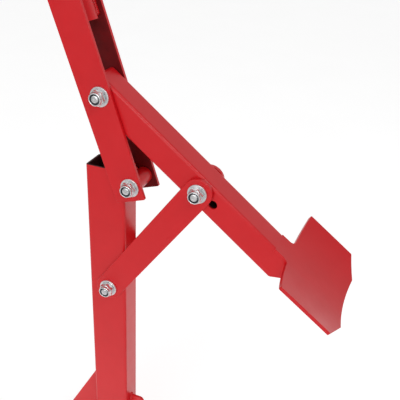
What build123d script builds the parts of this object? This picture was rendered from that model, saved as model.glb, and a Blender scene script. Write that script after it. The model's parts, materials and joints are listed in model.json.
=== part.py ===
"""Manual tyre bead breaker: a hand lever drives a curved shoe almost straight down through four pivots.

Frame: millimetres, +Z up, origin on the floor under the middle of the post, +X from the post
towards the tyre and the shoe, +Y away from the nut side of the pivot bolts.
"""
import os
from math import cos, degrees, atan2, hypot, radians, sin, sqrt

from build123d import *

# ---------------------------------------------------------------- driving dimensions
FOOT_H = 10.0            # rubber feet under the cross tubes
TUBE = 40.0              # square tube of the base and the arm
WALL = 3.0               # wall of every tube
TUBE_R = 4.0             # outer corner radius of the tubes
POST_W = 60.0            # post along X
POST_D = 40.0            # post along Y
POST_TOP = 600.0         # height of the post's open end

PIVOT_A = (42.0, 582.4)  # lever on the sleeve, (x, z)
PIVOT_D = (5.2, 401.9)   # links on the post, (x, z)
LEVER_LEAN = 19.2        # lever from the vertical, towards -X
LEVER_AB = 129.0         # lever pivot to arm pivot
ARM_DROP = 37.4          # arm below the horizontal
ARM_BC = 176.5           # arm pivot to link pivot
SPARE_PITCH = 25.0       # link pivot to the spare adjustment hole

INNER_Y = 20.5           # inner faces of lever plates and links, 0.5 clear of the tubes
LEVER_T = 5.0            # lever side plates
LEVER_W = 45.0
LEVER_OFF = 6.2          # pivots lie this far from the middle of the plate, towards the tyre
LEVER_FOOT = 20.6        # plate below pivot A
LEVER_TOP = 330.0        # plate above pivot A
LINK_T = 6.0
LINK_W = 40.0

SOCKET_FROM = 220.0      # handle socket, measured along the lever from pivot A
SOCKET_TO = 420.0
SOCKET_R = 20.5
BAR_FROM = 300.0
BAR_TO = 790.0
BAR_R = 17.3
GRIP_FROM = 660.0
GRIP_TO = 796.0
GRIP_R = 21.5
GRIP_FLANGE = 4.5        # flange over the grip, and its length
GRIP_FLANGE_L = 7.0
GRIP_ROUND = 8.0
BAR_WALL = 2.5
SOCKET_BOLT_AT = 385.0
SOCKET_NUT_H = 8.0
SOCKET_COLLAR_R = 5.6
SOCKET_HEAD_H = 5.3
SADDLE_R = 9.0           # saddle washers

BOLT_R = 6.0             # M12 pivot bolts
RUN_R = 6.05             # bores that turn on them
HOLE_R = 6.25            # bolt holes in clamped plates
WASHER_R = 13.5
WASHER_T = 2.5
NUT_AF = 19.0
NUT_H = 12.0
HEAD_H = 7.5
TIP = -0.5               # bolt end past the nut, just inside the collar's lip
HEX_EASE = 0.9           # corners turned off the hexagons of the pivot hardware
COLLAR_R = 8.9           # round collar of a lock nut
INSERT_FROM = 8.2        # nylon ring inside that collar
INSERT_TO = 11.3
INSERT_R = 8.0
MOUTH_R = 7.4            # open mouth of the collar over the ring
BUSH_R = 10.0
SLOT_TRAVEL = 7.0        # free travel of bolt B in the arm's slot, each way
SLOT_R = 6.6             # half width of that slot

ARM_END = 22.0           # closed end of the arm past pivot B
ARM_END_ROUND = 5.0      # its upper and lower corners
BLADE_T = 5.0
BLADE_HALF = 92.5        # half width across Y
BLADE_S1 = 322.0         # rear edge, along the arm from pivot B
BLADE_S2 = 404.0         # end of the straight sides
BLADE_S3 = 422.5         # corners of the working edge
BLADE_Y3 = 54.0
BLADE_SAG = 14.0         # rise of the side edges over the middle
BLADE_TILT = 1.5         # shoe against the arm, degrees
TONGUE_S = 300.0         # the shoe's tongue starts here on the arm's top
TONGUE_R = 8.0           # inner corners between tongue and wings
EDGE_HOLLOW = 1.5        # working edge is hollowed by this much
SIDE_ROUND = 2.0         # corners of the straight sides
TIP_ROUND = 4.0          # corners of the working edge

SPINE_REAR = -112.0      # rear end of the spine
REST_X = 350.0           # cross tubes, centre lines
FRONT_X = 620.0
REST_HALF = 175.0
FRONT_HALF = 200.0
FOOT_INSET = 28.0        # rubber feet from the ends of the cross tubes

PLATE_T = 6.0            # foot plate under the post, on a rubber sheet
PLATE_REAR = -90.0
PLATE_FRONT = 60.0
PLATE_HALF = 58.0
PLATE_ROUND = 8.0
ANCHOR_IN = 15.0         # floor anchor holes from the plate's edges
ANCHOR_R = 6.0
SHEET_HOLE_R = 7.5       # the same holes in the rubber sheet

GUSSET_T = 5.0           # stiffeners at the foot of the post
GUSSET_BLUNT = 8.0       # upright end where a stiffener runs out on the spine
REAR_LEG = 78.0
REAR_HEIGHT = 149.0
REAR_TIP = 3.0           # width left at the rear stiffener's top
FRONT_LEG = 69.0
FRONT_HEIGHT = 106.5
FRONT_TOP = 20.5         # level top edge of the tyre-side stiffener
FRONT_ROUND = 8.0

CAP_LIP = 3.0            # plastic end plugs
CAP_ROUND = 1.5
CAP_DEPTH = 12.0
CAP_WALL = 2.5
FOOT_R = 18.0            # round rubber feet
FOOT_RECESS_R = 8.5      # pocket for the bolt head under each foot
FOOT_RECESS = 7.0
M8_R = 4.0               # bolts of the feet and of the handle socket
M8_HOLE_R = 4.25
M8_AF = 13.0
M8_EASE = 0.8
M8_HEAD_H = 4.8          # heads of the foot bolts
M8_NUT_H = 6.5
M8_WASHER_R = 8.0
M8_WASHER_T = 1.6
M8_TIP = 2.0             # thread past each M8 nut

PAD_W = 32.0             # rubber pads on the middle cross tube
PAD_Y = 80.0
PAD_LEN = 100.0
PAD_T = 6.0
PAD_ROUND = 6.0
RIVET_Y = 34.0           # rivets from the middle of a pad
RIVET_R = 2.5
RIVET_HEAD_R = 5.0
RIVET_HEAD_H = 1.4
RIVET_SEAT_R = 5.5
RIVET_SEAT = 2.2         # depth of the recess for a rivet's head

# ---------------------------------------------------------------- worked out
BASE_TOP = FOOT_H + TUBE
UP = 90.0 + LEVER_LEAN
PIVOT_B = (PIVOT_A[0] + LEVER_AB * cos(radians(UP)), PIVOT_A[1] + LEVER_AB * sin(radians(UP)))
PIVOT_C = (
    PIVOT_B[0] + ARM_BC * cos(radians(ARM_DROP)),
    PIVOT_B[1] - ARM_BC * sin(radians(ARM_DROP)),
)
LINK_LEN = hypot(PIVOT_C[0] - PIVOT_D[0], PIVOT_C[1] - PIVOT_D[1])
LINK_TILT = degrees(atan2(PIVOT_C[1] - PIVOT_D[1], PIVOT_C[0] - PIVOT_D[0]))
BLADE_R = (BLADE_HALF**2 + BLADE_SAG**2) / (2 * BLADE_SAG)
LEVER_OUT = INNER_Y + LEVER_T
LINK_OUT = INNER_Y + LINK_T
SLEEVE_R = PIVOT_A[0] - POST_W / 2
SOCKET_SEAT = SOCKET_R + M8_WASHER_T
CROSS_TUBES = ((REST_X, REST_HALF), (FRONT_X, FRONT_HALF))
FOOT_SPOTS = [(x, side * (half - FOOT_INSET)) for x, half in CROSS_TUBES for side in (-1, 1)]
ANCHOR_XS = (PLATE_REAR + ANCHOR_IN, PLATE_FRONT - ANCHOR_IN)
ANCHOR_Y = PLATE_HALF - ANCHOR_IN
ANCHOR_SPOTS = [(x, side * ANCHOR_Y) for x in ANCHOR_XS for side in (-1, 1)]
PAD_SPOTS = [side * PAD_Y for side in (-1, 1)]
RIVET_SPOTS = [y + dy for y in PAD_SPOTS for dy in (-RIVET_Y, RIVET_Y)]


def side_plane(xz, angle, y):
    """Plane in side view: local x at angle above +X, normal towards -Y, lying at the given Y."""
    a = radians(angle)
    return Plane(origin=(xz[0], y, xz[1]), x_dir=(cos(a), 0, sin(a)), z_dir=(0, -1, 0))


def plate(outline, xz, angle, y_low, y_high):
    """Flat plate cut to outline, between two Y values."""
    return extrude(side_plane(xz, angle, y_high) * outline, amount=y_high - y_low)


def rod(xz, radius, y_low, y_high):
    """Round bar along Y."""
    return plate(Circle(radius), xz, 0, y_low, y_high)


def ring(xz, outer, inner, y_low, y_high):
    """Tube or washer along Y."""
    return plate(Circle(outer) - Circle(inner), xz, 0, y_low, y_high)


def rect_tube(plane, width, depth, length, wall=WALL):
    """Rectangular tube with rounded corners, extruded from a plane."""
    outer = RectangleRounded(width, depth, TUBE_R)
    inner = RectangleRounded(width - 2 * wall, depth - 2 * wall, TUBE_R - wall)
    return extrude(plane * (outer - inner), amount=length)


def lever_point(along, off=0.0):
    """Point of the lever in (x, z): distance from pivot A, and offset towards the tyre side."""
    a = radians(UP)
    return (PIVOT_A[0] + along * cos(a) + off * sin(a), PIVOT_A[1] + along * sin(a) - off * cos(a))


# ---------------------------------------------------------------- stand
def post_tube():
    tube = rect_tube(Plane.XY.offset(BASE_TOP), POST_W, POST_D, POST_TOP - BASE_TOP)
    return tube - rod(PIVOT_D, BUSH_R, -POST_D, POST_D)


def pivot_sleeve():
    sleeve = ring(PIVOT_A, SLEEVE_R, RUN_R, -POST_D / 2 - 0.2, POST_D / 2 + 0.2)
    return chamfer(sleeve.edges().filter_by(GeomType.CIRCLE), 0.4)


def link_bush():
    return ring(PIVOT_D, BUSH_R, RUN_R, -POST_D / 2, POST_D / 2)


def rear_gusset():
    """Triangular stiffener behind the post, its corners blunted."""
    wall_x = -POST_W / 2
    outline = Polygon(
        (wall_x, BASE_TOP),
        (wall_x, BASE_TOP + REAR_HEIGHT),
        (wall_x - REAR_TIP, BASE_TOP + REAR_HEIGHT),
        (wall_x - REAR_LEG, BASE_TOP + GUSSET_BLUNT),
        (wall_x - REAR_LEG, BASE_TOP),
        align=None,
    )
    return plate(outline, (0, 0), 0, -GUSSET_T / 2, GUSSET_T / 2)


def tyre_side_gusset():
    """Lower stiffener on the tyre side, with a level top and a rounded shoulder."""
    wall_x = POST_W / 2
    outline = Polygon(
        (wall_x, BASE_TOP),
        (wall_x + FRONT_LEG, BASE_TOP),
        (wall_x + FRONT_LEG, BASE_TOP + GUSSET_BLUNT),
        (wall_x + FRONT_TOP, BASE_TOP + FRONT_HEIGHT),
        (wall_x, BASE_TOP + FRONT_HEIGHT),
        align=None,
    )
    shoulder = outline.vertices().group_by(Axis.Y)[-1].sort_by(Axis.X)[-1]
    outline = fillet(shoulder, FRONT_ROUND)
    return plate(outline, (0, 0), 0, -GUSSET_T / 2, GUSSET_T / 2)


def spine_plane(x):
    """Plane across the spine at x, with its normal towards +X."""
    return Plane(origin=(x, 0, FOOT_H + TUBE / 2), x_dir=(0, 1, 0), z_dir=(1, 0, 0))


def spine_tube(from_x, to_x):
    return rect_tube(spine_plane(from_x), TUBE, TUBE, to_x - from_x)


def cross_tube(x, half):
    """Cross tube with a hole for a foot bolt near each end."""
    plane = Plane(origin=(x, -half, FOOT_H + TUBE / 2), x_dir=(1, 0, 0), z_dir=(0, 1, 0))
    tube = rect_tube(plane, TUBE, TUBE, 2 * half)
    for side in (-1, 1):
        spot = Pos(x, side * (half - FOOT_INSET), FOOT_H + TUBE / 2)
        tube = tube - spot * Cylinder(M8_HOLE_R, 2 * TUBE)
    return tube


def foot_outline(hole_r):
    """Plan of the foot plate: a rounded rectangle with its anchor holes."""
    middle = (PLATE_REAR + PLATE_FRONT) / 2
    outline = Pos(middle, 0) * RectangleRounded(PLATE_FRONT - PLATE_REAR, 2 * PLATE_HALF, PLATE_ROUND)
    for x, y in ANCHOR_SPOTS:
        outline = outline - Pos(x, y) * Circle(hole_r)
    return outline


def foot_plate():
    """Steel plate under the spine and the post, with four floor anchor holes."""
    return extrude(Plane.XY.offset(FOOT_H - PLATE_T) * foot_outline(ANCHOR_R), amount=PLATE_T)


def foot_sheet():
    """Rubber sheet under the foot plate."""
    return extrude(Plane.XY * foot_outline(SHEET_HOLE_R), amount=FOOT_H - PLATE_T)


def end_cap(plane, outwards):
    """Plug in a tube's end: a lip over the end and a hollow stem inside; the plane faces outwards."""
    lip = extrude(plane * RectangleRounded(TUBE, TUBE, TUBE_R), amount=CAP_LIP)
    outer = lip.faces().sort_by(Axis((0, 0, 0), outwards))[-1]
    lip = fillet(outer.edges(), CAP_ROUND)
    bore = TUBE - 2 * WALL
    core = bore - 2 * CAP_WALL
    stem = RectangleRounded(bore, bore, TUBE_R - WALL) - RectangleRounded(core, core, 1.0)
    return lip + extrude(plane * stem, amount=-CAP_DEPTH)


def end_caps():
    """Plastic plugs in the ends of both cross tubes and in the spine's rear end."""
    middle_z = FOOT_H + TUBE / 2
    rear = Plane(origin=(SPINE_REAR, 0, middle_z), x_dir=(0, 1, 0), z_dir=(-1, 0, 0))
    caps = [end_cap(rear, (-1, 0, 0))]
    for x, half in CROSS_TUBES:
        for side in (-1, 1):
            plane = Plane(origin=(x, side * half, middle_z), x_dir=(1, 0, 0), z_dir=(0, side, 0))
            caps.append(end_cap(plane, (0, side, 0)))
    return Compound(children=caps)


def rubber_feet():
    feet = []
    for x, y in FOOT_SPOTS:
        foot = Pos(x, y, FOOT_H / 2) * Cylinder(FOOT_R, FOOT_H)
        foot = fillet(foot.edges().sort_by(Axis.Z)[0:1], 2.0)
        foot = foot - Pos(x, y, FOOT_H / 2) * Cylinder(M8_HOLE_R, FOOT_H)
        feet.append(foot - Pos(x, y, FOOT_RECESS / 2) * Cylinder(FOOT_RECESS_R, FOOT_RECESS))
    return Compound(children=feet)


def foot_bolts():
    """Bolts from the pocket of each foot up through the cross tube."""
    bolts = []
    length = BASE_TOP + M8_WASHER_T + M8_NUT_H + M8_TIP - FOOT_RECESS
    head = Pos(0, 0, FOOT_RECESS - M8_HEAD_H) * hex_block(M8_AF, M8_HEAD_H, M8_EASE)
    shank = chamfer(Cylinder(M8_R, length).edges().sort_by(Axis.Z)[-1:], M8_EASE)
    bolt = head + Pos(0, 0, FOOT_RECESS + length / 2) * shank
    for x, y in FOOT_SPOTS:
        bolts.append(Pos(x, y, 0) * bolt)
    return Compound(children=bolts)


def foot_nuts():
    nut = hex_block(M8_AF, M8_NUT_H, M8_EASE) - Pos(0, 0, M8_NUT_H / 2) * Cylinder(M8_R, M8_NUT_H)
    seat = BASE_TOP + M8_WASHER_T
    return Compound(children=[Pos(x, y, seat) * nut for x, y in FOOT_SPOTS])


def foot_washers():
    washer = Cylinder(M8_WASHER_R, M8_WASHER_T) - Cylinder(M8_HOLE_R, M8_WASHER_T)
    middle = BASE_TOP + M8_WASHER_T / 2
    return Compound(children=[Pos(x, y, middle) * washer for x, y in FOOT_SPOTS])


def rest_pads():
    """Rubber strips on the middle cross tube, where the wheel rim lies."""
    pads = []
    for middle in PAD_SPOTS:
        pad = Pos(REST_X, middle, BASE_TOP + PAD_T / 2) * Box(PAD_W, PAD_LEN, PAD_T)
        pad = fillet(pad.edges().filter_by(Axis.Z), PAD_ROUND)
        pad = chamfer(pad.faces().sort_by(Axis.Z)[-1].edges(), 1.0)
        for y in (middle - RIVET_Y, middle + RIVET_Y):
            spot = Pos(REST_X, y, BASE_TOP + PAD_T)
            pad = pad - spot * Cylinder(RIVET_R, 3 * PAD_T)
            pad = pad - spot * Cylinder(RIVET_SEAT_R, 2 * RIVET_SEAT)
        pads.append(pad)
    return Compound(children=pads)


def pad_rivets():
    """Rivets with their heads sunk in the pads."""
    stem = PAD_T - RIVET_SEAT
    head = Pos(0, 0, stem + RIVET_HEAD_H / 2) * Cylinder(RIVET_HEAD_R, RIVET_HEAD_H)
    head = fillet(head.edges().sort_by(Axis.Z)[-1:], 0.6)
    rivet = head + Pos(0, 0, stem / 2) * Cylinder(RIVET_R, stem)
    return Compound(children=[Pos(REST_X, y, BASE_TOP) * rivet for y in RIVET_SPOTS])


# ---------------------------------------------------------------- hardware
def hex_block(across_flats, height, bevel):
    """Hexagonal block on z = 0 with its top corners turned off."""
    corner = across_flats / sqrt(3)
    block = extrude(RegularPolygon(across_flats / 2, 6, major_radius=False), amount=height)
    turned = Pos(0, 0, height / 2) * Cylinder(corner, height)
    turned = chamfer(turned.edges().sort_by(Axis.Z)[-1:], bevel, bevel * 1.7)
    return block & turned


def towards_nut(xz, y):
    """Location on a pivot line whose +Z points to the nut side (-Y)."""
    return side_plane(xz, 0, y).location


def washers(xz, outs):
    """A washer against each outer face of a clamped pair."""
    back = ring(xz, WASHER_R, HOLE_R, outs, outs + WASHER_T)
    front = ring(xz, WASHER_R, HOLE_R, -outs - WASHER_T, -outs)
    back = chamfer(back.faces().sort_by(Axis.Y)[-1].outer_wire().edges(), 0.4)
    front = chamfer(front.faces().sort_by(Axis.Y)[0].outer_wire().edges(), 0.4)
    return back, front


def pivot_bolt(xz, outs):
    """Hex bolt with its head on the back washer and its end at the lock nut."""
    seat = outs + WASHER_T
    length = 2 * seat + NUT_H + TIP
    shank = Pos(0, 0, length / 2) * Cylinder(BOLT_R, length)
    shank = chamfer(shank.edges().sort_by(Axis.Z)[-1:], 1.2)
    head = Rot(180, 0, 0) * hex_block(NUT_AF, HEAD_H, HEX_EASE)
    return towards_nut(xz, seat) * (shank + head)


def lock_nut(xz, outs):
    """Hex nut with a round collar that holds a nylon ring."""
    hexagon = hex_block(NUT_AF, INSERT_FROM, HEX_EASE)
    collar = Pos(0, 0, NUT_H / 2) * Cylinder(COLLAR_R, NUT_H)
    collar = fillet(collar.edges().sort_by(Axis.Z)[-1:], 1.2)
    depth = INSERT_TO - INSERT_FROM
    nut = hexagon + collar
    nut = nut - Pos(0, 0, NUT_H / 2) * Cylinder(BOLT_R, NUT_H)
    nut = nut - Pos(0, 0, INSERT_FROM + depth / 2) * Cylinder(INSERT_R, depth)
    nut = nut - Pos(0, 0, NUT_H) * Cylinder(MOUTH_R, 2 * (NUT_H - INSERT_TO + 0.3))
    return towards_nut(xz, -outs - WASHER_T) * nut


def nut_insert(xz, outs):
    """Nylon ring of a lock nut."""
    depth = INSERT_TO - INSERT_FROM
    band = Cylinder(INSERT_R, depth) - Cylinder(BOLT_R, depth)
    return towards_nut(xz, -outs - WASHER_T) * (Pos(0, 0, INSERT_FROM + depth / 2) * band)


# ---------------------------------------------------------------- lever
def lever_plate(y_low, y_high):
    """Flat side plate with both pivot holes, off-centre towards the tyre."""
    length = LEVER_TOP + LEVER_FOOT
    body = Pos((LEVER_TOP - LEVER_FOOT) / 2, LEVER_OFF) * Rectangle(length, LEVER_W)
    body = fillet(body.vertices().group_by(Axis.X)[0], 1.5)
    body = fillet(body.vertices().group_by(Axis.X)[-1], 9.0)
    body = body - Circle(HOLE_R) - Pos(LEVER_AB, 0) * Circle(HOLE_R)
    return plate(body, PIVOT_A, UP, y_low, y_high)


def lever_line(along):
    """Plane square to the lever on the middle line of its plates, normal up the lever."""
    x, z = lever_point(along, -LEVER_OFF)
    a = radians(UP)
    return Plane(origin=(x, 0, z), x_dir=(0, 1, 0), z_dir=(cos(a), 0, sin(a)))


def handle_socket():
    tube = Circle(SOCKET_R) - Circle(SOCKET_R - WALL)
    tube = extrude(lever_line(SOCKET_FROM) * tube, amount=SOCKET_TO - SOCKET_FROM)
    return tube - socket_drill(M8_HOLE_R)


def socket_drill(radius):
    return rod(lever_point(SOCKET_BOLT_AT, -LEVER_OFF), radius, -2 * SOCKET_R, 2 * SOCKET_R)


def handle_bar():
    tube = Circle(BAR_R) - Circle(BAR_R - BAR_WALL)
    tube = extrude(lever_line(BAR_FROM) * tube, amount=BAR_TO - BAR_FROM)
    return tube - socket_drill(M8_HOLE_R)


def handle_grip():
    """Rubber grip with a flange at its lower end and a closed, rounded top."""
    body = extrude(lever_line(GRIP_FROM) * Circle(GRIP_R), amount=GRIP_TO - GRIP_FROM)
    axis = Axis((0, 0, 0), tuple(lever_line(0).z_dir))
    body = fillet(body.edges().filter_by(GeomType.CIRCLE).sort_by(axis)[-1:], GRIP_ROUND)
    flange = extrude(lever_line(GRIP_FROM) * Circle(GRIP_R + GRIP_FLANGE), amount=GRIP_FLANGE_L)
    flange = fillet(flange.edges().filter_by(GeomType.CIRCLE), 2.5)
    bore = extrude(lever_line(GRIP_FROM) * Circle(BAR_R), amount=BAR_TO - GRIP_FROM)
    return body + flange - bore


def socket_bolt():
    """Bolt across the socket that keeps the handle bar in it."""
    length = 2 * SOCKET_SEAT + SOCKET_NUT_H + M8_TIP
    shank = Pos(0, 0, length / 2) * Cylinder(M8_R, length)
    shank = chamfer(shank.edges().sort_by(Axis.Z)[-1:], M8_EASE)
    head = Rot(180, 0, 0) * hex_block(M8_AF, SOCKET_HEAD_H, M8_EASE)
    spot = lever_point(SOCKET_BOLT_AT, -LEVER_OFF)
    return towards_nut(spot, SOCKET_SEAT) * (shank + head)


def socket_nut():
    """Hex nut with a low round collar."""
    collar = Pos(0, 0, SOCKET_NUT_H / 2) * Cylinder(SOCKET_COLLAR_R, SOCKET_NUT_H)
    nut = hex_block(M8_AF, M8_NUT_H, M8_EASE) + collar
    nut = nut - Pos(0, 0, SOCKET_NUT_H / 2) * Cylinder(M8_R, SOCKET_NUT_H)
    spot = lever_point(SOCKET_BOLT_AT, -LEVER_OFF)
    return towards_nut(spot, -SOCKET_SEAT) * nut


def socket_washers():
    """Saddle washers: flat outside, curved inside to sit on the round socket."""
    spot = lever_point(SOCKET_BOLT_AT, -LEVER_OFF)
    pair = ring(spot, SADDLE_R, M8_HOLE_R, -SOCKET_SEAT, SOCKET_SEAT)
    pipe = extrude(lever_line(SOCKET_FROM) * Circle(SOCKET_R), amount=SOCKET_TO - SOCKET_FROM)
    return pair - pipe


# ---------------------------------------------------------------- links
def link(y_low, y_high):
    """Flat bar with full round ends."""
    outline = Pos(LINK_LEN / 2, 0) * SlotCenterToCenter(LINK_LEN, LINK_W)
    outline = outline - Circle(HOLE_R) - Pos(LINK_LEN, 0) * Circle(HOLE_R)
    return plate(outline, PIVOT_D, LINK_TILT, y_low, y_high)


# ---------------------------------------------------------------- arm
def shoe_frame():
    """Plane of the shoe: x along the shoe, y across the object, z up out of its hollow side."""
    x, z = arm_point(BLADE_S1, TUBE / 2)
    a = radians(BLADE_TILT - ARM_DROP)
    return Plane(origin=(x, 0, z), x_dir=(cos(a), 0, sin(a)), z_dir=(-sin(a), 0, cos(a)))


def arm_point(along, up=0.0):
    """Point of the arm in (x, z): distance from pivot B, and height over its middle line."""
    a = radians(-ARM_DROP)
    return (
        PIVOT_B[0] + along * cos(a) - up * sin(a),
        PIVOT_B[1] + along * sin(a) + up * cos(a),
    )


def shoe_roll(radius):
    """Cylinder along the shoe whose surface passes radius below its centre of curvature."""
    frame = shoe_frame()
    centre = frame.location * Pos(0, 0, BLADE_R)
    return centre * Rot(0, 90, 0) * Cylinder(radius, 600.0)


def arm_profile(inset):
    """Side outline of the arm: a long bar, its closed end past pivot B with rounded corners."""
    half = TUBE / 2 - inset
    rear = inset - ARM_END
    front = BLADE_S1 + 2 * TUBE
    bar = Pos((front + rear) / 2, 0) * Rectangle(front - rear, 2 * half)
    return fillet(bar.vertices().sort_by(Axis.X)[:2], ARM_END_ROUND - inset)


def arm_tube():
    """Square tube with a closed end at pivot B and a coped end under the shoe."""
    half = TUBE / 2
    tube = plate(arm_profile(0.0), PIVOT_B, -ARM_DROP, -half, half)
    rims = [e for e in tube.edges() if abs(abs(e.center().Y) - half) < 0.01 and e.length > 50.0]
    tube = fillet(rims, TUBE_R)
    tube = tube - plate(arm_profile(WALL), PIVOT_B, -ARM_DROP, -half + WALL, half - WALL)
    undercut = Polygon(
        (BLADE_S1 - 1.0, -half - 1.0),
        (BLADE_S1 + 200.0, -half - 1.0),
        (BLADE_S1 + 200.0, -half + 200.0),
        align=None,
    )
    tube = tube - plate(undercut, PIVOT_B, -ARM_DROP, -TUBE, TUBE)
    over = Pos(TONGUE_S + 100.0, half) * Rectangle(200.0, TUBE)
    seat = plate(over, PIVOT_B, -ARM_DROP, -TUBE, TUBE)
    tube = tube - (seat & shoe_roll(BLADE_R + BLADE_T))
    slot = Rot(0, 0, 90 + ARM_DROP) * SlotCenterToCenter(2 * SLOT_TRAVEL, 2 * SLOT_R)
    tube = tube - plate(slot, PIVOT_B, -ARM_DROP, -TUBE, TUBE)
    tube = tube - rod(PIVOT_C, BUSH_R, -TUBE, TUBE)
    return tube - rod(arm_point(ARM_BC + SPARE_PITCH), HOLE_R, -TUBE, TUBE)


def arm_bush():
    return ring(PIVOT_C, BUSH_R, RUN_R, -TUBE / 2, TUBE / 2)


def shoe_outline():
    """Plan of the shoe: tongue, rear edges, straight sides, bevelled corners, hollow edge."""
    s0 = TONGUE_S - BLADE_S1
    s2 = BLADE_S2 - BLADE_S1
    s3 = BLADE_S3 - BLADE_S1
    tongue = TUBE / 2
    rim = [
        Line((s0, -tongue), (0, -tongue)),
        Line((0, -tongue), (0, -BLADE_HALF)),
        Line((0, -BLADE_HALF), (s2, -BLADE_HALF)),
        Line((s2, -BLADE_HALF), (s3, -BLADE_Y3)),
        ThreePointArc((s3, -BLADE_Y3), (s3 - EDGE_HOLLOW, 0), (s3, BLADE_Y3)),
        Line((s3, BLADE_Y3), (s2, BLADE_HALF)),
        Line((s2, BLADE_HALF), (0, BLADE_HALF)),
        Line((0, BLADE_HALF), (0, tongue)),
        Line((0, tongue), (s0, tongue)),
        Line((s0, tongue), (s0, -tongue)),
    ]
    face = make_face(rim)
    inner = [v for v in face.vertices() if abs(v.X) < 0.1 and abs(abs(v.Y) - tongue) < 0.1]
    face = fillet(inner, TONGUE_R)
    outer = [v for v in face.vertices() if v.X > -0.1 and abs(abs(v.Y) - BLADE_HALF) < 0.1]
    face = fillet(outer, SIDE_ROUND)
    tips = [v for v in face.vertices() if abs(abs(v.Y) - BLADE_Y3) < 0.1]
    return fillet(tips, TIP_ROUND)


def shoe():
    """Rolled plate, hollow side up, with a tongue let into the arm's top."""
    blank = extrude(shoe_frame() * shoe_outline(), amount=60.0, both=True)
    return blank & (shoe_roll(BLADE_R + BLADE_T) - shoe_roll(BLADE_R))


# ---------------------------------------------------------------- assembly
def pivot_set(name, xz, outs):
    """Bolt, washers, lock nut and nylon ring of one pivot."""
    back, front = washers(xz, outs)
    return {
        f"pivot_bolt_{name}": pivot_bolt(xz, outs),
        f"head_washer_{name}": back,
        f"nut_washer_{name}": front,
        f"lock_nut_{name}": lock_nut(xz, outs),
        f"nut_insert_{name}": nut_insert(xz, outs),
    }


def build():
    parts = {
        "post_tube": post_tube(),
        "pivot_sleeve": pivot_sleeve(),
        "link_bush": link_bush(),
        "rear_gusset": rear_gusset(),
        "tyre_side_gusset": tyre_side_gusset(),
        "spine_tube_post": spine_tube(SPINE_REAR, REST_X - TUBE / 2),
        "spine_tube_front": spine_tube(REST_X + TUBE / 2, FRONT_X - TUBE / 2),
        "rest_cross_tube": cross_tube(REST_X, REST_HALF),
        "front_cross_tube": cross_tube(FRONT_X, FRONT_HALF),
        "foot_plate": foot_plate(),
        "foot_sheet": foot_sheet(),
        "tube_end_caps": end_caps(),
        "rubber_feet": rubber_feet(),
        "foot_bolts": foot_bolts(),
        "foot_nuts": foot_nuts(),
        "foot_washers": foot_washers(),
        "rest_pads": rest_pads(),
        "pad_rivets": pad_rivets(),
        "lever_plate_nut_side": lever_plate(-LEVER_OUT, -INNER_Y),
        "lever_plate_head_side": lever_plate(INNER_Y, LEVER_OUT),
        "handle_socket": handle_socket(),
        "handle_bar": handle_bar(),
        "handle_grip": handle_grip(),
        "socket_bolt": socket_bolt(),
        "socket_nut": socket_nut(),
        "socket_washers": socket_washers(),
        "link_nut_side": link(-LINK_OUT, -INNER_Y),
        "link_head_side": link(INNER_Y, LINK_OUT),
        "arm_tube": arm_tube(),
        "arm_bush": arm_bush(),
        "shoe": shoe(),
    }
    parts.update(pivot_set("a", PIVOT_A, LEVER_OUT))
    parts.update(pivot_set("b", PIVOT_B, LEVER_OUT))
    parts.update(pivot_set("c", PIVOT_C, LINK_OUT))
    parts.update(pivot_set("d", PIVOT_D, LINK_OUT))
    return parts


os.makedirs("parts", exist_ok=True)
for node, shape in build().items():
    export_step(shape, f"parts/{node}.step")
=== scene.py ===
"""Looks of a lever-operated tyre bead breaker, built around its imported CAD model. Metres, +Z up."""

import json
import math

import bmesh
import bpy
from mathutils import Matrix, Vector, noise

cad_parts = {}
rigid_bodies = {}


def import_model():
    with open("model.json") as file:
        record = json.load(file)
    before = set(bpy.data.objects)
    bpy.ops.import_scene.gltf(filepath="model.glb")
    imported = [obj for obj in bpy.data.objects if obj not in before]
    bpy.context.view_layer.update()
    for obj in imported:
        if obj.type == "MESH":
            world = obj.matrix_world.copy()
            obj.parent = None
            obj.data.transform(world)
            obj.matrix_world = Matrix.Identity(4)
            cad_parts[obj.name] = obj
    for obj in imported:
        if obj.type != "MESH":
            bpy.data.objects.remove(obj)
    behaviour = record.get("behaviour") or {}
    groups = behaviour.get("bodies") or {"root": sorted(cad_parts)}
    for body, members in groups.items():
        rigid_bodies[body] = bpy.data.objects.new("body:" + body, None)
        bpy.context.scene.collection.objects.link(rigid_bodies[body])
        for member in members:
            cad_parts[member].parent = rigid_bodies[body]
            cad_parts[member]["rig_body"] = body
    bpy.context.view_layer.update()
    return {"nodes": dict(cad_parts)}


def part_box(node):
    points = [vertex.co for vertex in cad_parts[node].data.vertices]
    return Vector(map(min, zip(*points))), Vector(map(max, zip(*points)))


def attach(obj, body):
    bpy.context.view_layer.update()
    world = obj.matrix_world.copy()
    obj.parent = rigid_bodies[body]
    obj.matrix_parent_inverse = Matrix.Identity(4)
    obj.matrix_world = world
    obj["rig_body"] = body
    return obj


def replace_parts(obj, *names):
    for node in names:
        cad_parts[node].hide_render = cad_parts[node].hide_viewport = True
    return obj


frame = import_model()

MM = 0.001
MERGE = 1e-6              # CAD vertices closer than this are one
SHARP = math.radians(25)  # edges that turn more than this are eased
FLAT = math.radians(0.2)  # faces that turn less than this are one


# ---------------------------------------------------------------- places, read from the frame
def centre(node):
    lo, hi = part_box(node)
    return (lo + hi) / 2


def span(node, origin, direction):
    """Nearest and farthest reach of a CAD node along a direction, from an origin."""
    reach = [(v.co - origin).dot(direction) for v in frame["nodes"][node].data.vertices]
    return min(reach), max(reach)


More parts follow.
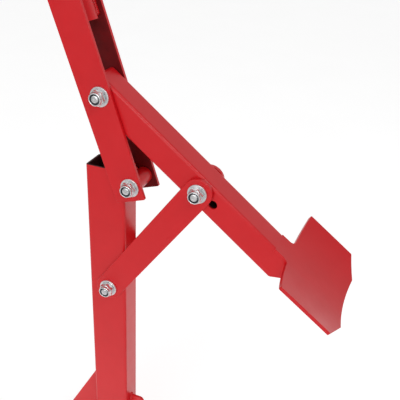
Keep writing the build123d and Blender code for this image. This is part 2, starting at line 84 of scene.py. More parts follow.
def solids(node):
    """Lowest and highest corner of each separate solid of a CAD node, in a fixed order."""
    bm = bmesh.new()
    bm.from_mesh(frame["nodes"][node].data)
    bmesh.ops.remove_doubles(bm, verts=bm.verts, dist=MERGE)
    left = set(bm.verts)
    boxes = []
    for vert in bm.verts:
        if vert not in left:
            continue
        left.discard(vert)
        heap = [vert]
        found = []
        while heap:
            here = heap.pop()
            found.append(here.co.copy())
            for edge in here.link_edges:
                other = edge.other_vert(here)
                if other in left:
                    left.discard(other)
                    heap.append(other)
        low = Vector(min(c[i] for c in found) for i in range(3))
        high = Vector(max(c[i] for c in found) for i in range(3))
        boxes.append((low, high))
    bm.free()
    return sorted(boxes, key=lambda box: tuple(round(c, 4) for c in box[0]))


def body_of(node):
    return frame["nodes"][node]["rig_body"]


def slot_of(node):
    return CAD_SLOTS[node]


CAD_SLOTS = {node: obj.data.materials[0].name for node, obj in frame["nodes"].items()}
X, Y, Z = Vector((1, 0, 0)), Vector((0, 1, 0)), Vector((0, 0, 1))
PIVOT = {key: centre(f"nut_washer_{key}") * Vector((1, 0, 1)) for key in "abcd"}
LEVER_UP = (PIVOT["b"] - PIVOT["a"]).normalized()
LEVER_OUT = Y.cross(LEVER_UP)
ARM_ALONG = (PIVOT["c"] - PIVOT["b"]).normalized()
ARM_UP = ARM_ALONG.cross(Y)
POST_LO, POST_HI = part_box("post_tube")
SPINE_LO, SPINE_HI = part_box("spine_tube_post")


# ---------------------------------------------------------------- materials
class Finish:
    """A node material under construction, with a Principled shader at its end."""

    def __init__(self, name, **sockets):
        self.material = bpy.data.materials.new(name)
        self.material.use_nodes = True
        self.tree = self.material.node_tree
        self.shader = self.tree.nodes["Principled BSDF"]
        self.place = self.tree.nodes.new("ShaderNodeTexCoord").outputs["Object"]
        for socket, value in sockets.items():
            self.shader.inputs[socket.replace("_", " ")].default_value = value

    def link(self, source, target):
        self.tree.links.new(source, target)

    def noise(self, scale, detail=4.0, rough=0.55, stretch=None):
        """Noise over the object's own coordinates; scale is features per metre."""
        node = self.tree.nodes.new("ShaderNodeTexNoise")
        node.inputs["Scale"].default_value = scale
        node.inputs["Detail"].default_value = detail
        node.inputs["Roughness"].default_value = rough
        place = self.place
        if stretch:
            mapping = self.tree.nodes.new("ShaderNodeMapping")
            mapping.inputs["Scale"].default_value = stretch
            self.link(place, mapping.inputs["Vector"])
            place = mapping.outputs["Vector"]
        self.link(place, node.inputs["Vector"])
        return node.outputs["Fac"]

    def ramp(self, value, low, high, start=0.3, end=0.7):
        """Maps start..end of a value to low..high."""
        node = self.tree.nodes.new("ShaderNodeMapRange")
        node.inputs["From Min"].default_value = start
        node.inputs["From Max"].default_value = end
        node.inputs["To Min"].default_value = low
        node.inputs["To Max"].default_value = high
        self.link(value, node.inputs["Value"])
        return node.outputs["Result"]

    def colours(self, value, stops):
        """Colour ramp; stops are (position, (r, g, b))."""
        node = self.tree.nodes.new("ShaderNodeValToRGB")
        while len(node.color_ramp.elements) < len(stops):
            node.color_ramp.elements.new(1.0)
        for element, (position, rgb) in zip(node.color_ramp.elements, stops):
            element.position = position
            element.color = (*rgb, 1)
        self.link(value, node.inputs["Fac"])
        return node.outputs["Color"]

    def paint(self, value, stops):
        self.link(self.colours(value, stops), self.shader.inputs["Base Color"])

    def gloss(self, value, low, high):
        self.link(self.ramp(value, low, high), self.shader.inputs["Roughness"])

    def bumps(self, *layers):
        """Stacks bump layers; each is (height value, depth in metres)."""
        normal = None
        for value, depth in layers:
            node = self.tree.nodes.new("ShaderNodeBump")
            node.inputs["Strength"].default_value = 1.0
            node.inputs["Distance"].default_value = depth
            self.link(value, node.inputs["Height"])
            if normal:
                self.link(normal, node.inputs["Normal"])
            normal = node.outputs["Normal"]
        self.link(normal, self.shader.inputs["Normal"])


def powder_coat():
    """Glossy red powder coat: faint orange peel, uneven film and a little dust in the film."""
    f = Finish("coat_red", Specular_IOR_Level=0.42, Coat_Weight=0.06, Coat_Roughness=0.18)
    f.paint(f.noise(26.0), [(0.30, (0.665, 0.0055, 0.0105)), (0.70, (0.705, 0.0072, 0.0130))])
    f.gloss(f.noise(60.0, 5.0), 0.30, 0.37)
    f.bumps((f.noise(420.0, 2.0), 0.035 * MM), (f.noise(1500.0, 1.0), 0.006 * MM))
    return f.material


def painted_shade_coat(name, dark, light):
    """Inner faces in painted shade: a darkened, dull red standing in for the shade in the tube bores, where
    the powder lies only as thin overspray, and for the shade between the lever plates.
    """
    f = Finish(name, Specular_IOR_Level=0.3)
    f.paint(f.noise(70.0), [(0.30, dark), (0.70, light)])
    f.gloss(f.noise(90.0, 5.0), 0.55, 0.75)
    f.bumps((f.noise(700.0, 3.0), 0.03 * MM))
    return f.material


def zinc(name, tone, rough_low, rough_high):
    """Bright zinc plating with a faint bluish tone, drawn marks and fingerprint haze."""
    f = Finish(name, Metallic=1.0)
    light = [c * tone for c in (0.86, 0.86, 0.86)]
    dark = [c * tone for c in (0.66, 0.67, 0.69)]
    f.paint(f.noise(230.0, 6.0), [(0.35, dark), (0.62, light)])
    f.gloss(f.noise(500.0, 5.0), rough_low, rough_high)
    f.bumps((f.noise(900.0, 3.0), 0.020 * MM), (f.noise(2500.0, 2.0), 0.006 * MM))
    return f.material


def rubber(name, dark, light, rough=0.62):
    """Moulded rubber with a fine skin and a light bloom."""
    f = Finish(name, Specular_IOR_Level=0.45)
    f.paint(f.noise(90.0, 6.0), [(0.35, dark), (0.75, light)])
    f.gloss(f.noise(300.0, 4.0), rough - 0.06, rough + 0.10)
    f.bumps((f.noise(1400.0, 3.0), 0.05 * MM), (f.noise(300.0, 2.0), 0.04 * MM))
    return f.material


def moulded_plastic(name, dark, light, rough):
    """Injection-moulded plastic with a spark-eroded grain."""
    f = Finish(name, Specular_IOR_Level=0.5)
    f.paint(f.noise(120.0, 4.0), [(0.35, dark), (0.70, light)])
    f.gloss(f.noise(250.0, 3.0), rough - 0.05, rough + 0.08)
    f.bumps((f.noise(2200.0, 2.0), 0.03 * MM))
    return f.material


def turned_steel():
    """Bare turned steel of the bushes, with rings round the pivot axis."""
    f = Finish("steel_turned", Metallic=1.0)
    f.paint(f.noise(400.0, 4.0), [(0.3, (0.42, 0.41, 0.40)), (0.7, (0.58, 0.57, 0.56))])
    f.gloss(f.noise(300.0, 4.0), 0.30, 0.45)
    f.bumps((f.noise(120.0, 2.0, stretch=(1, 40, 1)), 0.02 * MM))
    return f.material


FINISHES = {
    "red_powder_coat": powder_coat(),
    "zinc_bolt": zinc("zinc_on_bolts", 0.92, 0.26, 0.42),
    "zinc_nut": zinc("zinc_on_nuts", 1.0, 0.20, 0.36),
    "zinc_washer": zinc("zinc_on_washers", 1.04, 0.24, 0.40),
    "rivet": zinc("zinc_on_rivets", 0.9, 0.28, 0.45),
    "nylon": moulded_plastic("nylon_ring", (0.020, 0.024, 0.035), (0.035, 0.040, 0.055), 0.42),
    "bush_steel": turned_steel(),
    "foot_rubber": rubber("rubber_on_feet", (0.016, 0.016, 0.017), (0.030, 0.030, 0.031)),
    "pad_rubber": rubber("rubber_on_pads", (0.020, 0.020, 0.020), (0.038, 0.037, 0.036), 0.70),
    "grip_rubber": rubber("rubber_on_grip", (0.014, 0.014, 0.015), (0.026, 0.026, 0.028), 0.52),
    "cap_plastic": moulded_plastic("plastic_caps", (0.018, 0.018, 0.019), (0.030, 0.030, 0.031), 0.40),
}


# ---------------------------------------------------------------- mesh tools
def new_piece(name, bm, body, slot, weighted=True):
    """Turns a bmesh into a piece of the object, finished as its slot says."""
    bmesh.ops.recalc_face_normals(bm, faces=bm.faces)
    mesh = bpy.data.meshes.new(name)
    for face in bm.faces:
        face.smooth = True
    bm.to_mesh(mesh)
    bm.free()
    mesh.materials.append(FINISHES[slot])
    piece = bpy.data.objects.new(name, mesh)
    bpy.context.scene.collection.objects.link(piece)
    if weighted:
        normals = piece.modifiers.new("even_normals", "WEIGHTED_NORMAL")
        normals.keep_sharp = True
        normals.weight = 60
    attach(piece, body)
    return piece


SHELL = 2.5 * MM  # a little less than the walls of the tubes
TOUCH = 0.1 * MM  # a face this near a plane lies on it
ARM_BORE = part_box("arm_tube")[1].y - SHELL
ARM_REAR = span("arm_tube", PIVOT["b"], ARM_ALONG)[0]
PLATE_INNER_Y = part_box("lever_plate_head_side")[0].y


def inside_post(point):
    between_x = POST_LO.x + SHELL < point.x < POST_HI.x - SHELL
    between_y = POST_LO.y + SHELL < point.y < POST_HI.y - SHELL
    return between_x and between_y


def inside_arm(point):
    reach = point - PIVOT["b"]
    past_rear = ARM_REAR + SHELL < reach.dot(ARM_ALONG)
    return past_rear and abs(reach.dot(ARM_UP)) < ARM_BORE and abs(point.y) < ARM_BORE


def inside_lever(point):
    return abs(point.y) < PLATE_INNER_Y + TOUCH


# Painted shade. Inside the tubes it is the dark of the bore over a thin, dull overspray; between the lever
# plates it is the shade cast by the plates and the arm.
IN_TUBE_SHADE = painted_shade_coat("coat_in_tubes_painted_shade", (0.030, 0.006, 0.006), (0.090, 0.010, 0.011))
IN_LEVER_SHADE = painted_shade_coat("painted_shade_in_lever", (0.160, 0.004, 0.006), (0.250, 0.005, 0.008))
SHADED_INSIDE = {
    "post_tube": (inside_post, IN_TUBE_SHADE),
    "arm_tube": (inside_arm, IN_TUBE_SHADE),
    "lever_plate_head_side": (inside_lever, IN_LEVER_SHADE),
    "lever_plate_nut_side": (inside_lever, IN_LEVER_SHADE),
}
EASE_SEGMENTS = 3


def eased(node, width):
    """Puts in a CAD node's place a copy with its seams closed and its sharp edges rounded to a width."""
    bm = bmesh.new()
    bm.from_mesh(frame["nodes"][node].data)
    bmesh.ops.remove_doubles(bm, verts=bm.verts, dist=MERGE)
    bmesh.ops.dissolve_limit(bm, angle_limit=FLAT, verts=bm.verts, edges=bm.edges)
    crisp = [e for e in bm.edges if e.is_manifold and e.calc_face_angle() > SHARP]
    bmesh.ops.bevel(bm, geom=crisp, offset=width, segments=EASE_SEGMENTS, profile=0.5, affect="EDGES",
                    clamp_overlap=True)
    bmesh.ops.remove_doubles(bm, verts=bm.verts, dist=MERGE)
    # Faces inside the tubes and between the lever plates get the second finish, which is painted shade.
    is_inside, inner_shade_coat = SHADED_INSIDE.get(node, (None, None))
    if is_inside:
        for face in bm.faces:
            face.material_index = int(is_inside(face.calc_center_median()))
    piece = new_piece(f"{node}_eased", bm, body_of(node), slot_of(node))
    if is_inside:
        piece.data.materials.append(inner_shade_coat)
    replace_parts(piece, node)


def skin(bm, rings, loop=False):
    """Joins rings of points with quads; the ends are closed, or joined to each other in a loop."""
    rows = [[bm.verts.new(p) for p in ring] for ring in rings]
    count = len(rows[0])
    pairs = list(zip(rows, rows[1:]))
    if loop:
        pairs.append((rows[-1], rows[0]))
    for low, high in pairs:
        for k in range(count):
            bm.faces.new((low[k], low[(k + 1) % count], high[(k + 1) % count], high[k]))
    if not loop:
        for row in (rows[0], rows[-1]):
            bm.faces.new(row)


# ---------------------------------------------------------------- welds
BEAD_R = 3.2 * MM
BEAD_CROWN = 0.8                                # height of the crown, as a share of the radius
BEAD_STEP = 0.55 * MM
BEAD_SIDES = 12
RIPPLE_PITCH = 2.6 * MM
RIPPLE_HEIGHT = 0.11                            # share of the radius
RIPPLE_BOW = 1.3 * MM                           # how far a ripple's sides trail its crown
END_TAPER = 0.02                                # keeps a bead's ends from closing to a point
WANDER, WANDER_LENGTH = 0.35 * MM, 9 * MM       # sideways drift of the hand
SWELL, SWELL_LENGTH = 0.12, 5 * MM              # drift of the radius
NOISE_SCALE = 40.0                              # sets beads apart, so that no two drift alike


def weld_bead(name, body, start, end, out):
    """Rippled weld from start to end; out points from the joined corner into the open."""
    along = end - start
    length = along.length
    along.normalize()
    side = along.cross(out).normalized()
    up = side.cross(along)
    count = max(8, round(length / BEAD_STEP))
    seed = start * NOISE_SCALE
    rings = []
    for i in range(count + 1):
        s = length * i / count
        near_end = min(1.0, min(s, length - s) / BEAD_R)
        taper = math.sqrt(max(END_TAPER, 1 - (1 - near_end) ** 2))
        wander = noise.noise(seed + Vector((s / WANDER_LENGTH, 0, 0)))
        swell = 1 + SWELL * noise.noise(seed + Vector((0, s / SWELL_LENGTH, 0)))
        middle = start + along * s + side * wander * WANDER
        ring = []
        for k in range(BEAD_SIDES):
            phi = 2 * math.pi * k / BEAD_SIDES
            crescent = s + RIPPLE_BOW * (1 - math.cos(phi))
            ripple = 1 + RIPPLE_HEIGHT * math.cos(2 * math.pi * crescent / RIPPLE_PITCH)
            r = BEAD_R * taper * swell * ripple
            ring.append(middle + up * math.cos(phi) * r * BEAD_CROWN + side * math.sin(phi) * r)
        rings.append(ring)
    bm = bmesh.new()
    skin(bm, rings)
    new_piece(name, bm, body, "red_powder_coat", weighted=False)


def weld_pair(name, body, start, end, out):
    """A weld and its mirror image on the other side of the object."""
    flip = Vector((1, -1, 1))
    weld_bead(f"{name}_near", body, start, end, out)
    weld_bead(f"{name}_far", body, start * flip, end * flip, out * flip)


def gusset_welds(name, node, wall_x, open_side):
    """Fillets on both faces of a stiffener, up the post and along the spine."""
    lo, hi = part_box(node)
    top = SPINE_HI.z
    gap = 4 * MM
    toe = 2 * MM
    run_out = lo.x + toe if open_side < 0 else hi.x - toe
    weld_pair(f"{name}_upright", "stand", Vector((wall_x, lo.y, top + gap)),
              Vector((wall_x, lo.y, hi.z - toe)), Vector((open_side, -1, 0)))
    weld_pair(f"{name}_level", "stand", Vector((wall_x + open_side * gap, lo.y, top)),
              Vector((run_out, lo.y, top)), Vector((0, -1, 1)))
    weld_bead(f"{name}_crown", "stand", Vector((wall_x, lo.y - gap / 2, hi.z)),
              Vector((wall_x, hi.y + gap / 2, hi.z)), Vector((open_side, 0, 1)))


def post_welds():
    """Fillets round the post's foot, and between the spine and the foot plate."""
    top = SPINE_HI.z
    corner = 2 * MM
    groove = 0.6 * MM
    weld_pair("weld_post_side", "stand", Vector((POST_LO.x + corner, POST_LO.y + groove, top)),
              Vector((POST_HI.x - corner, POST_LO.y + groove, top)), Vector((0, -1, 0)))
    outer, inner = 15 * MM, 5 * MM
    for name, x, open_side in (("rear", POST_LO.x, -1), ("tyre_side", POST_HI.x, 1)):
        weld_pair(f"weld_post_{name}", "stand", Vector((x, -outer, top)), Vector((x, -inner, top)),
                  Vector((open_side, 0, 1)))
    lo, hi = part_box("foot_plate")
    margin, stitch = 4 * MM, 40 * MM
    for name, start in (("rear", lo.x + margin), ("front", hi.x - margin - stitch)):
        weld_pair(f"weld_plate_{name}", "stand", Vector((start, SPINE_LO.y, hi.z)),
                  Vector((start + stitch, SPINE_LO.y, hi.z)), Vector((0, -1, 1)))


def cross_welds():
    """Three-sided welds where the spine meets the cross tubes."""
    half = SPINE_HI.y
    inset = 4 * MM
    joints = {
        "rest_post_side": (SPINE_HI.x, -1),
        "rest_front_side": (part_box("spine_tube_front")[0].x, 1),
        "front": (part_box("spine_tube_front")[1].x, -1),
    }
    for name, (x, open_side) in joints.items():
        weld_bead(f"weld_{name}_top", "stand", Vector((x, inset - half, SPINE_HI.z)),
                  Vector((x, half - inset, SPINE_HI.z)), Vector((open_side, 0, 1)))
        weld_pair(f"weld_{name}_side", "stand", Vector((x, -half, SPINE_LO.z + inset)),
                  Vector((x, -half, SPINE_HI.z - inset)), Vector((open_side, -1, 0)))


def nestle(radius, depth):
    """How far from a tube lying on a wall a bead of some depth sits when it touches both."""
    return 2 * math.sqrt(radius * depth)


def sleeve_welds():
    """Fillets above and below the pivot sleeve, on the post's tyre side."""
    lo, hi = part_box("pivot_sleeve")
    depth = 0.6 * BEAD_R
    rise = nestle((hi.z - lo.z) / 2, depth)
    x = POST_HI.x + depth
    end = hi.y - 3 * MM
    for name, side in (("over", 1), ("under", -1)):
        z = PIVOT["a"].z + side * rise
        weld_bead(f"weld_sleeve_{name}", "stand", Vector((x, -end, z)), Vector((x, end, z)),
                  Vector((1, 0, side)))


def socket_welds():
    """Fillets between the round socket and both lever plates, on both edges of the plates."""
    middle = centre("handle_bar")
    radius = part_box("handle_socket")[1].y
    low = span("handle_socket", middle, LEVER_UP)[0]
    high = span("lever_plate_nut_side", middle, LEVER_UP)[1]
    margin = 3 * MM
    lean = 0.4
    depth = 0.7 * BEAD_R
    across = nestle(radius, depth)
    for name, side in (("tyre_side", 1), ("rear_side", -1)):
        line = middle + LEVER_OUT * across * side + Y * (depth - radius)
        weld_pair(f"weld_socket_{name}", "lever", line + LEVER_UP * (low + margin),
                  line + LEVER_UP * (high - margin), LEVER_OUT * side + Y * lean)
    reach, sink = 9 * MM, 0.5 * MM
    end = middle + LEVER_UP * high - Y * (radius - sink)
    weld_pair("weld_socket_end", "lever", end - LEVER_OUT * reach, end + LEVER_OUT * reach,
              LEVER_UP - Y)


def shoe_welds():
    """Fillets between the arm's coped end and the underside of the shoe."""
    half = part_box("arm_tube")[1].y
    end = span("arm_tube", PIVOT["b"], ARM_ALONG)[1]
    cope_depth, cope_rise = 6.5 * MM, 0.6 * MM
    near_end, far_end = 32 * MM, 4 * MM
    corner = PIVOT["b"] + ARM_ALONG * end + ARM_UP * (half - cope_depth) - Y * half
    weld_pair("weld_shoe_side", "arm", corner - ARM_ALONG * near_end,
              corner - ARM_ALONG * far_end + ARM_UP * cope_rise, -ARM_UP - Y)


# ---------------------------------------------------------------- turned and threaded parts
# r is the bolt's radius, size is across flats, and cut is the height of the turned corners.
M12 = {"r": 6.0 * MM, "pitch": 1.75 * MM, "size": 19.0 * MM, "cut": 1.1 * MM}
M8 = {"r": 4.0 * MM, "pitch": 1.25 * MM, "size": 13.0 * MM, "cut": 0.8 * MM}
GROOVE_DEPTH = 0.55  # depth of a thread's groove, as a share of the pitch
FLANK = 2.6          # steepness of its flanks; higher leaves a wider crest
TURNED_FACE = 0.97   # diameter of a hexagon's turned face, as a share of the size across flats
WASHER_FACE = 0.94   # diameter of the step under a bolt's head, as such a share


def turned(bm, foot, towards, rings, thread=None, phase=0.0, loop=False, count=72):
    """Turned solid. rings are (height, radius, kind), and kind is round, hex or thread.

    foot is where height is 0, and towards is the axis. A hex ring is cut off by the hexagon of the
    thread's nut size, so the turned corners come out as scallops.
    """
    side = towards.cross(X if abs(towards.x) < 0.9 else Y).normalized()
    other = towards.cross(side)
    sixth = math.pi / 3
    made = []
    for height, radius, kind in rings:
        ring = []
        for k in range(count):
            phi = 2 * math.pi * k / count
            r = radius
            if kind == "hex":
                r = min(radius, thread["size"] / 2 / math.cos((phi + phase) % sixth - sixth / 2))
            if kind == "thread":
                turn = (height / thread["pitch"] - phi / (2 * math.pi)) % 1.0
                r = radius - GROOVE_DEPTH * thread["pitch"] * max(0.0, 1 - FLANK * abs(turn - 0.5))
            ring.append(foot + towards * height + (side * math.cos(phi) + other * math.sin(phi)) * r)
        made.append(ring)
    skin(bm, made, loop)


def hexagon(thread, low, high, ends):
    """Rings of a hexagon from low to high, turned off at low, high or both."""
    corner = thread["size"] / math.sqrt(3)
    face = thread["size"] / 2 * TURNED_FACE
    bevel = corner - face
    cut = thread["cut"]
    steps = 5
    shares = [i / steps for i in range(steps + 1)]
    rings = [(low, corner, "hex"), (high, corner, "hex")]
    if "low" in ends:
        rings[0:1] = [(low + cut * share, face + bevel * share, "hex") for share in shares]
    if "high" in ends:
        rings[-1:] = [(high - cut + cut * share, corner - bevel * share, "hex") for share in shares]
    return rings


def quarter_round(top, out, radius, angles):
    """Rings that round a side of radius out over into a top face."""
    return [(top - radius * (1 - math.sin(a)), out - radius * (1 - math.cos(a)), "round") for a in angles]


def bolt(bm, thread, foot, towards, head, length, phase):
    """Hex bolt: its dished head behind the foot of the axis, its thread and centre mark at the far end."""
    r = thread["r"]
    pitch = thread["pitch"]
    dish, dish_r = 0.3 * MM, 1.05 * r
    seat_r = thread["size"] / 2 * WASHER_FACE
    seat_from, hex_to = -0.35 * MM, -0.4 * MM
    turns, rings_per_turn = 7, 8
    count = turns * rings_per_turn
    chamfer = 0.75 * pitch
    thread_from, thread_to = length - turns * pitch, length - chamfer
    mark = 0.12 * r
    rings = [(-head + dish, dish_r / 3, "round"), (-head + dish, dish_r, "round")]
    rings += hexagon(thread, -head, hex_to, ("low",))
    rings += [(seat_from, seat_r, "round"), (0.0, seat_r, "round")]
    rings += [(0.0, r, "round"), (thread_from, r, "round")]
    for i in range(1, count + 1):
        rings.append((thread_from + (thread_to - thread_from) * i / count, r, "thread"))
    rings.append((length - 0.5 * chamfer, r - 0.55 * chamfer, "thread"))
    rings.append((length, r - 1.05 * chamfer, "round"))
    rings += [(length, 2 * mark, "round"), (length - mark, mark, "round")]
    turned(bm, foot, towards, rings, thread, phase)


def nut(bm, thread, foot, towards, height, phase, collar=None):
    """Hex nut, plain or with a round collar.

    collar is (hexagon height, outer radius, mouth radius, groove top, groove radius); a nylon ring
    fills the groove.
    """
    r = thread["r"]
    sink, sink_r = 0.5 * MM, 1.12 * r
    if collar:
        hex_top, out, mouth, groove_top, groove = collar
        fillet, roll, lip = 0.2 * MM, 1.2 * MM, 0.1 * MM
        rings = hexagon(thread, 0.0, hex_top, ("low", "high"))
        rings += [(hex_top + lip, out + fillet, "round"), (hex_top + sink, out, "round")]
        rings += quarter_round(height, out, roll, [math.pi / 2 * i / 6 for i in range(7)])
        rings += [(height - 1.5 * lip, mouth + lip, "round"), (height - sink, mouth, "round")]
        rings += [(groove_top, mouth, "round"), (groove_top, groove, "round")]
        rings += [(hex_top, groove, "round"), (hex_top, r, "round")]
    else:
        rings = hexagon(thread, 0.0, height, ("low", "high"))
        rings += [(height, sink_r, "round"), (height - sink, r, "round")]
    rings += [(sink, r, "round"), (0.0, sink_r, "round")]
    turned(bm, foot, towards, rings, thread, phase, loop=True)


PHASES = {"a": 0.42, "b": 0.70, "c": 0.30, "d": 0.12}  # radians that each nut happens to be turned


def pivot_hardware():
    """Bolts with real threads and lock nuts with rolled collars, one of each per pivot."""
    collar_r, mouth_r = 8.9 * MM, 7.2 * MM
    head_turn = 0.3
    for key, pivot in PIVOT.items():
        bolt_node, nut_node = f"pivot_bolt_{key}", f"lock_nut_{key}"
        lo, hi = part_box(bolt_node)
        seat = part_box(f"head_washer_{key}")[1].y
        bm = bmesh.new()
        bolt(bm, M12, pivot + Y * seat, -Y, hi.y - seat, seat - lo.y, PHASES[key] + head_turn)
        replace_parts(new_piece(f"bolt_{key}", bm, body_of(bolt_node), "zinc_bolt"), bolt_node)
        lo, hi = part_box(nut_node)
        ring_lo, ring_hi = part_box(f"nut_insert_{key}")
        groove_r = (ring_hi.x - ring_lo.x) / 2
        collar = (hi.y - ring_hi.y, collar_r, mouth_r, hi.y - ring_lo.y, groove_r)
        bm = bmesh.new()
        nut(bm, M12, pivot + Y * hi.y, -Y, hi.y - lo.y, PHASES[key], collar)
        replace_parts(new_piece(f"nut_{key}", bm, body_of(nut_node), "zinc_nut"), nut_node)


def socket_hardware():
    """The cross bolt that holds the handle bar in its socket, and its nut."""
    spot = centre("socket_washers")
    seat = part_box("socket_washers")[1].y
    lo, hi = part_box("socket_bolt")
    bm = bmesh.new()
    bolt(bm, M8, spot + Y * seat, -Y, hi.y - seat, seat - lo.y, phase=0.2)
    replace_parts(new_piece("handle_bolt", bm, "lever", "zinc_bolt"), "socket_bolt")
    lo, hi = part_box("socket_nut")
    height = hi.y - lo.y
    hex_top, collar_r, mouth_r, lip = 6.5 * MM, 5.6 * MM, 4.6 * MM, 0.8 * MM
    bm = bmesh.new()
    nut(bm, M8, spot + Y * hi.y, -Y, height, 0.5, (hex_top, collar_r, mouth_r, height - lip, mouth_r))
    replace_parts(new_piece("handle_nut", bm, "lever", "zinc_nut"), "socket_nut")


def foot_hardware():
    """Bolts of the rubber feet, heads down, with their nuts on top of the cross tubes, all turned apart."""
    head = 4.8 * MM
    bolts, nuts = bmesh.new(), bmesh.new()
    for index, (lo, hi) in enumerate(solids("foot_bolts")):
        middle = (lo + hi) / 2
        foot = Vector((middle.x, middle.y, lo.z + head))
        bolt(bolts, M8, foot, Z, head, hi.z - foot.z, 0.2 + index)
    for index, (lo, hi) in enumerate(solids("foot_nuts")):
        middle = (lo + hi) / 2
        nut(nuts, M8, Vector((middle.x, middle.y, lo.z)), Z, hi.z - lo.z, 0.6 * index)
    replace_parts(new_piece("feet_bolts", bolts, "stand", "zinc_bolt"), "foot_bolts")
    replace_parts(new_piece("feet_nuts", nuts, "stand", "zinc_nut"), "foot_nuts")


def grip():
    """Rubber grip: rounded flange, finger rings and a domed end, bored for the bar."""
    middle = centre("handle_bar")
    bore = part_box("handle_bar")[1].y
    start, end = span("handle_grip", middle, LEVER_UP)
    bar_end = span("handle_bar", middle, LEVER_UP)[1] - start
    length = end - start
    flange_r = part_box("handle_grip")[1].y
    flange_middle, flange_half, flange_round = 3.5 * MM, 3.4 * MM, 2.5 * MM
    flange_foot, bore_end_r = 2 * MM, 1 * MM
    body_r = flange_r - 4.5 * MM
    neck, fillet_height, fillet_width = 7.5 * MM, 3 * MM, 1.5 * MM
    ring_pitch, ring_depth, ring_fade = 8 * MM, 1.1 * MM, 4 * MM
    rings_from, rings_to = 14 * MM, length - 18 * MM
    dome = 8 * MM
    dimple_r, dimple_floor_r, dimple_depth = 3 * MM, 2.4 * MM, 1 * MM
    step = 0.8 * MM

    rings = [(bar_end, bore_end_r, "round"), (bar_end, bore, "round"), (0.0, bore, "round")]
    rings.append((0.0, flange_r - flange_foot, "round"))
    for i in range(9):
        a = math.pi * i / 8
        radius = flange_r - flange_round + flange_round * math.sin(a)
        rings.append((flange_middle - flange_half * math.cos(a), radius, "round"))
    h = neck
    while h < length - dome:
        strength = max(0.0, min(1.0, (h - rings_from) / ring_fade, (rings_to - h) / ring_fade))
        groove = ring_depth * strength * (0.5 - 0.5 * math.cos(2 * math.pi * h / ring_pitch)) ** 2
        fillet = fillet_width * max(0.0, 1 - (h - neck) / fillet_height) ** 2
        rings.append((h, body_r + fillet - groove, "round"))
        h += step
    rings += quarter_round(length, body_r, dome, [math.pi / 2 * i / 10 for i in range(1, 10)])
    rings += [(length, body_r - dome, "round"), (length, dimple_r, "round")]
    rings.append((length - dimple_depth, dimple_floor_r, "round"))
    bm = bmesh.new()
    turned(bm, middle + LEVER_UP * start, LEVER_UP, rings, count=64)
    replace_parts(new_piece("grip", bm, "lever", "grip_rubber", weighted=False), "handle_grip")


def pad_rib(bm, middle, half):
    """One rib along X, half round in section, with rounded ends."""
    width, height = 2.2 * MM, 0.9 * MM
    steps, sides = 6, 8
    squareness = 6
    end_height = 0.05  # keeps a rib's ends from closing to a point
    rings = []
    for i in range(steps + 1):
        share = -1 + 2 * i / steps
        grow = math.sqrt(max(end_height, 1 - abs(share) ** squareness))
        ring = []
        for k in range(sides):
            a = 2 * math.pi * k / sides
            offset = Vector((half * share, math.cos(a) * width / 2, math.sin(a) * height * grow))
            ring.append(middle + offset)
        rings.append(ring)
    skin(bm, rings)


def pad_ribs():
    """Moulded cross ribs on top of the rest pads, leaving the rivets free."""
    rivets = [(lo + hi) / 2 for lo, hi in solids("pad_rivets")]
    pitch, rivet_clear = 5 * MM, 8 * MM
    side_margin, end_margin = 4 * MM, 7 * MM
    bm = bmesh.new()
    for lo, hi in solids("rest_pads"):
        middle = (lo + hi) / 2
        half = (hi.x - lo.x) / 2 - side_margin
        count = int((hi.y - lo.y - 2 * end_margin) / pitch)
        for i in range(count + 1):
            y = middle.y + (i - count / 2) * pitch
            if min(abs(y - rivet.y) for rivet in rivets) >= rivet_clear:
                pad_rib(bm, Vector((middle.x, y, hi.z)), half)
    new_piece("rest_pad_ribs", bm, "stand", "pad_rubber", weighted=False)


# ---------------------------------------------------------------- pieces
EASE_MM = {
    "post_tube": 0.7, "rear_gusset": 0.9, "tyre_side_gusset": 0.9, "spine_tube_post": 0.6,
    "spine_tube_front": 0.6, "rest_cross_tube": 0.6, "front_cross_tube": 0.6, "foot_plate": 0.9,
    "foot_sheet": 0.6, "pivot_sleeve": 0.4, "lever_plate_nut_side": 0.9,
    "lever_plate_head_side": 0.9, "handle_socket": 0.7, "handle_bar": 0.6, "link_nut_side": 0.9,
    "link_head_side": 0.9, "arm_tube": 0.7, "shoe": 1.0, "rubber_feet": 0.6, "rest_pads": 0.5,
    "tube_end_caps": 0.3, "pad_rivets": 0.2, "foot_washers": 0.2, "socket_washers": 0.25,
}
for key in PIVOT:
    EASE_MM[f"head_washer_{key}"] = 0.25
    EASE_MM[f"nut_washer_{key}"] = 0.25
for node, width in EASE_MM.items():
    eased(node, width * MM)

gusset_welds("weld_rear_gusset", "rear_gusset", wall_x=POST_LO.x, open_side=-1)
gusset_welds("weld_tyre_gusset", "tyre_side_gusset", wall_x=POST_HI.x, open_side=1)
post_welds()
cross_welds()
sleeve_welds()
socket_welds()
shoe_welds()
pivot_hardware()
socket_hardware()
foot_hardware()
grip()
pad_ribs()

for node, obj in frame["nodes"].items():
    for material_slot in obj.material_slots:
        material_slot.material = FINISHES[slot_of(node)]


# ---------------------------------------------------------------- studio
CAMERA_AT = Vector((0.35729, -0.64814, 0.95100))
AZIMUTH = math.radians(18.94)
ELEVATION = math.radians(28.86)
ROLL = math.radians(3.56)
LENS_MM = 51.77
SENSOR_MM = 36.0


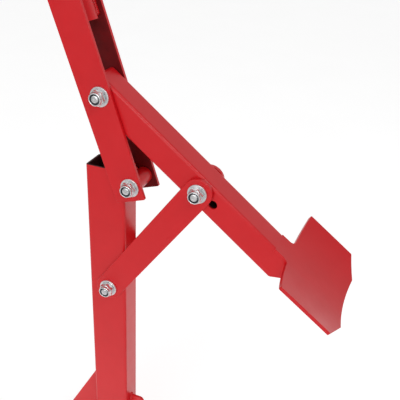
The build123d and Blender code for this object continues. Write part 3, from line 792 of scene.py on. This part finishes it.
def camera():
    """Camera that looks back along AZIMUTH and ELEVATION, and is tilted by ROLL."""
    level_back = Vector((math.sin(AZIMUTH), -math.cos(AZIMUTH), 0))
    back = level_back * math.cos(ELEVATION) + Z * math.sin(ELEVATION)
    level = (-back).cross(Z).normalized()
    upright = level.cross(-back)
    right = math.cos(ROLL) * level + math.sin(ROLL) * upright
    up = -math.sin(ROLL) * level + math.cos(ROLL) * upright
    data = bpy.data.cameras.new("camera")
    data.sensor_width = SENSOR_MM
    data.lens = LENS_MM
    data.clip_start = 0.05
    data.clip_end = 60.0
    obj = bpy.data.objects.new("camera", data)
    turn = Matrix((right, up, back)).transposed().to_4x4()
    obj.matrix_world = Matrix.Translation(CAMERA_AT) @ turn
    bpy.context.scene.collection.objects.link(obj)
    bpy.context.scene.camera = obj


def softbox(name, at, aim, size, watts):
    """White area light at a place, turned to a point."""
    data = bpy.data.lights.new(name, "AREA")
    data.shape = "RECTANGLE"
    data.size, data.size_y = size
    data.energy = watts
    obj = bpy.data.objects.new(name, data)
    obj.location = at
    obj.rotation_mode = "QUATERNION"
    obj.rotation_quaternion = (Vector(aim) - Vector(at)).to_track_quat("-Z", "Y")
    obj.visible_camera = False
    bpy.context.scene.collection.objects.link(obj)


def sky(ambient, front, back):
    """White surroundings, brighter straight in front of and behind the object than at its sides."""
    world = bpy.data.worlds.new("studio")
    world.use_nodes = True
    tree = world.node_tree
    background = tree.nodes["Background"]
    background.inputs["Color"].default_value = (1, 1, 1, 1)
    split = tree.nodes.new("ShaderNodeSeparateXYZ")
    tree.links.new(tree.nodes.new("ShaderNodeTexCoord").outputs["Generated"], split.inputs["Vector"])
    total = tree.nodes.new("ShaderNodeMath")
    total.operation = "ADD"
    for socket, start, end, low, high in (
        (0, -0.9, 0.2, front + ambient, ambient),
        (1, -0.2, 0.9, 0.0, back),
    ):
        ramp = tree.nodes.new("ShaderNodeMapRange")
        ramp.interpolation_type = "SMOOTHSTEP"
        ramp.inputs["From Min"].default_value = start
        ramp.inputs["From Max"].default_value = end
        ramp.inputs["To Min"].default_value = low
        ramp.inputs["To Max"].default_value = high
        tree.links.new(split.outputs["Y"], ramp.inputs["Value"])
        tree.links.new(ramp.outputs["Result"], total.inputs[socket])
    tree.links.new(total.outputs["Value"], background.inputs["Strength"])
    bpy.context.scene.world = world


def floor():
    """Plain pale floor, a little self-lit behind the object, as a lit sweep is."""
    half_side = 20.0
    bm = bmesh.new()
    bmesh.ops.create_grid(bm, x_segments=4, y_segments=4, size=half_side)
    mesh = bpy.data.meshes.new("floor")
    bm.to_mesh(mesh)
    bm.free()
    f = Finish("floor_paper", Roughness=0.9, Specular_IOR_Level=0.1)
    f.paint(f.noise(3.0, 2.0), [(0.3, (0.60, 0.60, 0.60)), (0.7, (0.62, 0.62, 0.62))])
    f.shader.inputs["Emission Color"].default_value = (1, 1, 1, 1)
    split = f.tree.nodes.new("ShaderNodeSeparateXYZ")
    f.link(f.place, split.inputs["Vector"])
    glow = f.ramp(split.outputs["Y"], low=0.05, high=0.68, start=-1.10, end=0.12)
    f.link(glow, f.shader.inputs["Emission Strength"])
    mesh.materials.append(f.material)
    obj = bpy.data.objects.new("floor", mesh)
    bpy.context.scene.collection.objects.link(obj)


camera()
sky(ambient=0.08, front=0.60, back=0.58)
floor()
softbox("low", at=(-0.3, -2.6, 0.9), aim=(0.05, 0, 0.6), size=(1.2, 1.0), watts=14)
softbox("top", at=(0.2, 0.2, 3.0), aim=(0.1, 0, 0.6), size=(2.0, 2.0), watts=8.5)
softbox("strip", at=(1.3, -1.1, 2.3), aim=(0.1, 0, 0.7), size=(1.4, 0.35), watts=10)
bpy.context.scene.view_settings.view_transform = "Standard"
